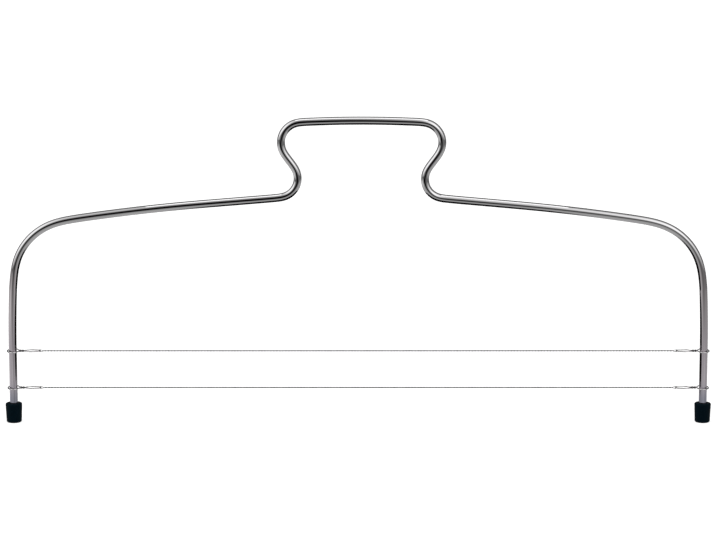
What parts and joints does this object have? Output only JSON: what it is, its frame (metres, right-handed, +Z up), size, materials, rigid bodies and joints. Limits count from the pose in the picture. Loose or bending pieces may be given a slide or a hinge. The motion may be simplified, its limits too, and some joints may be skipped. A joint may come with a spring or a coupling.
{
  "type": "cake wire slicer",
  "caption": "Bent steel rod frame with a raised grip, rubber feet and height-adjustable cutting wires strung between its legs, for slicing cakes into level layers.",
  "frame": {"origin": "on the table, midway between the two feet, at the centre of the object's footprint", "axes": "+X from the left leg to the right leg along the cutting wires, as the picture shows them; +Y away from the viewer, the direction in which the slicer is drawn through a cake; +Z up, along the legs"},
  "size_m": [0.3532, 0.0082, 0.1538],
  "materials": {
    "frame_steel": "drawn stainless rod, polished bright over the arms and grip, more satin on the legs",
    "foot_rubber": "moulded black rubber, satin",
    "cutting_wire_steel": "thin bright stainless wire, twisted",
    "hook_steel": "bright stainless wire, bent and twisted"
  },
  "bodies": {
    "frame": {"frame_rod": "frame_steel", "left_foot": "foot_rubber", "right_foot": "foot_rubber"},
    "upper_wire": {"upper_cutting_wire": "cutting_wire_steel", "upper_left_hook": "hook_steel", "upper_right_hook": "hook_steel"},
    "lower_wire": {"lower_cutting_wire": "cutting_wire_steel", "lower_left_hook": "hook_steel", "lower_right_hook": "hook_steel"}
  },
  "joints": [
    {"name": "upper_wire_height", "type": "slide", "parent": "frame", "child": "upper_wire", "axis": [0, 0, 1], "range_m": [-0.008, 0.02]},
    {"name": "lower_wire_height", "type": "slide", "parent": "frame", "child": "lower_wire", "axis": [0, 0, 1], "range_m": [-0.007, 0.008]}
  ]
}
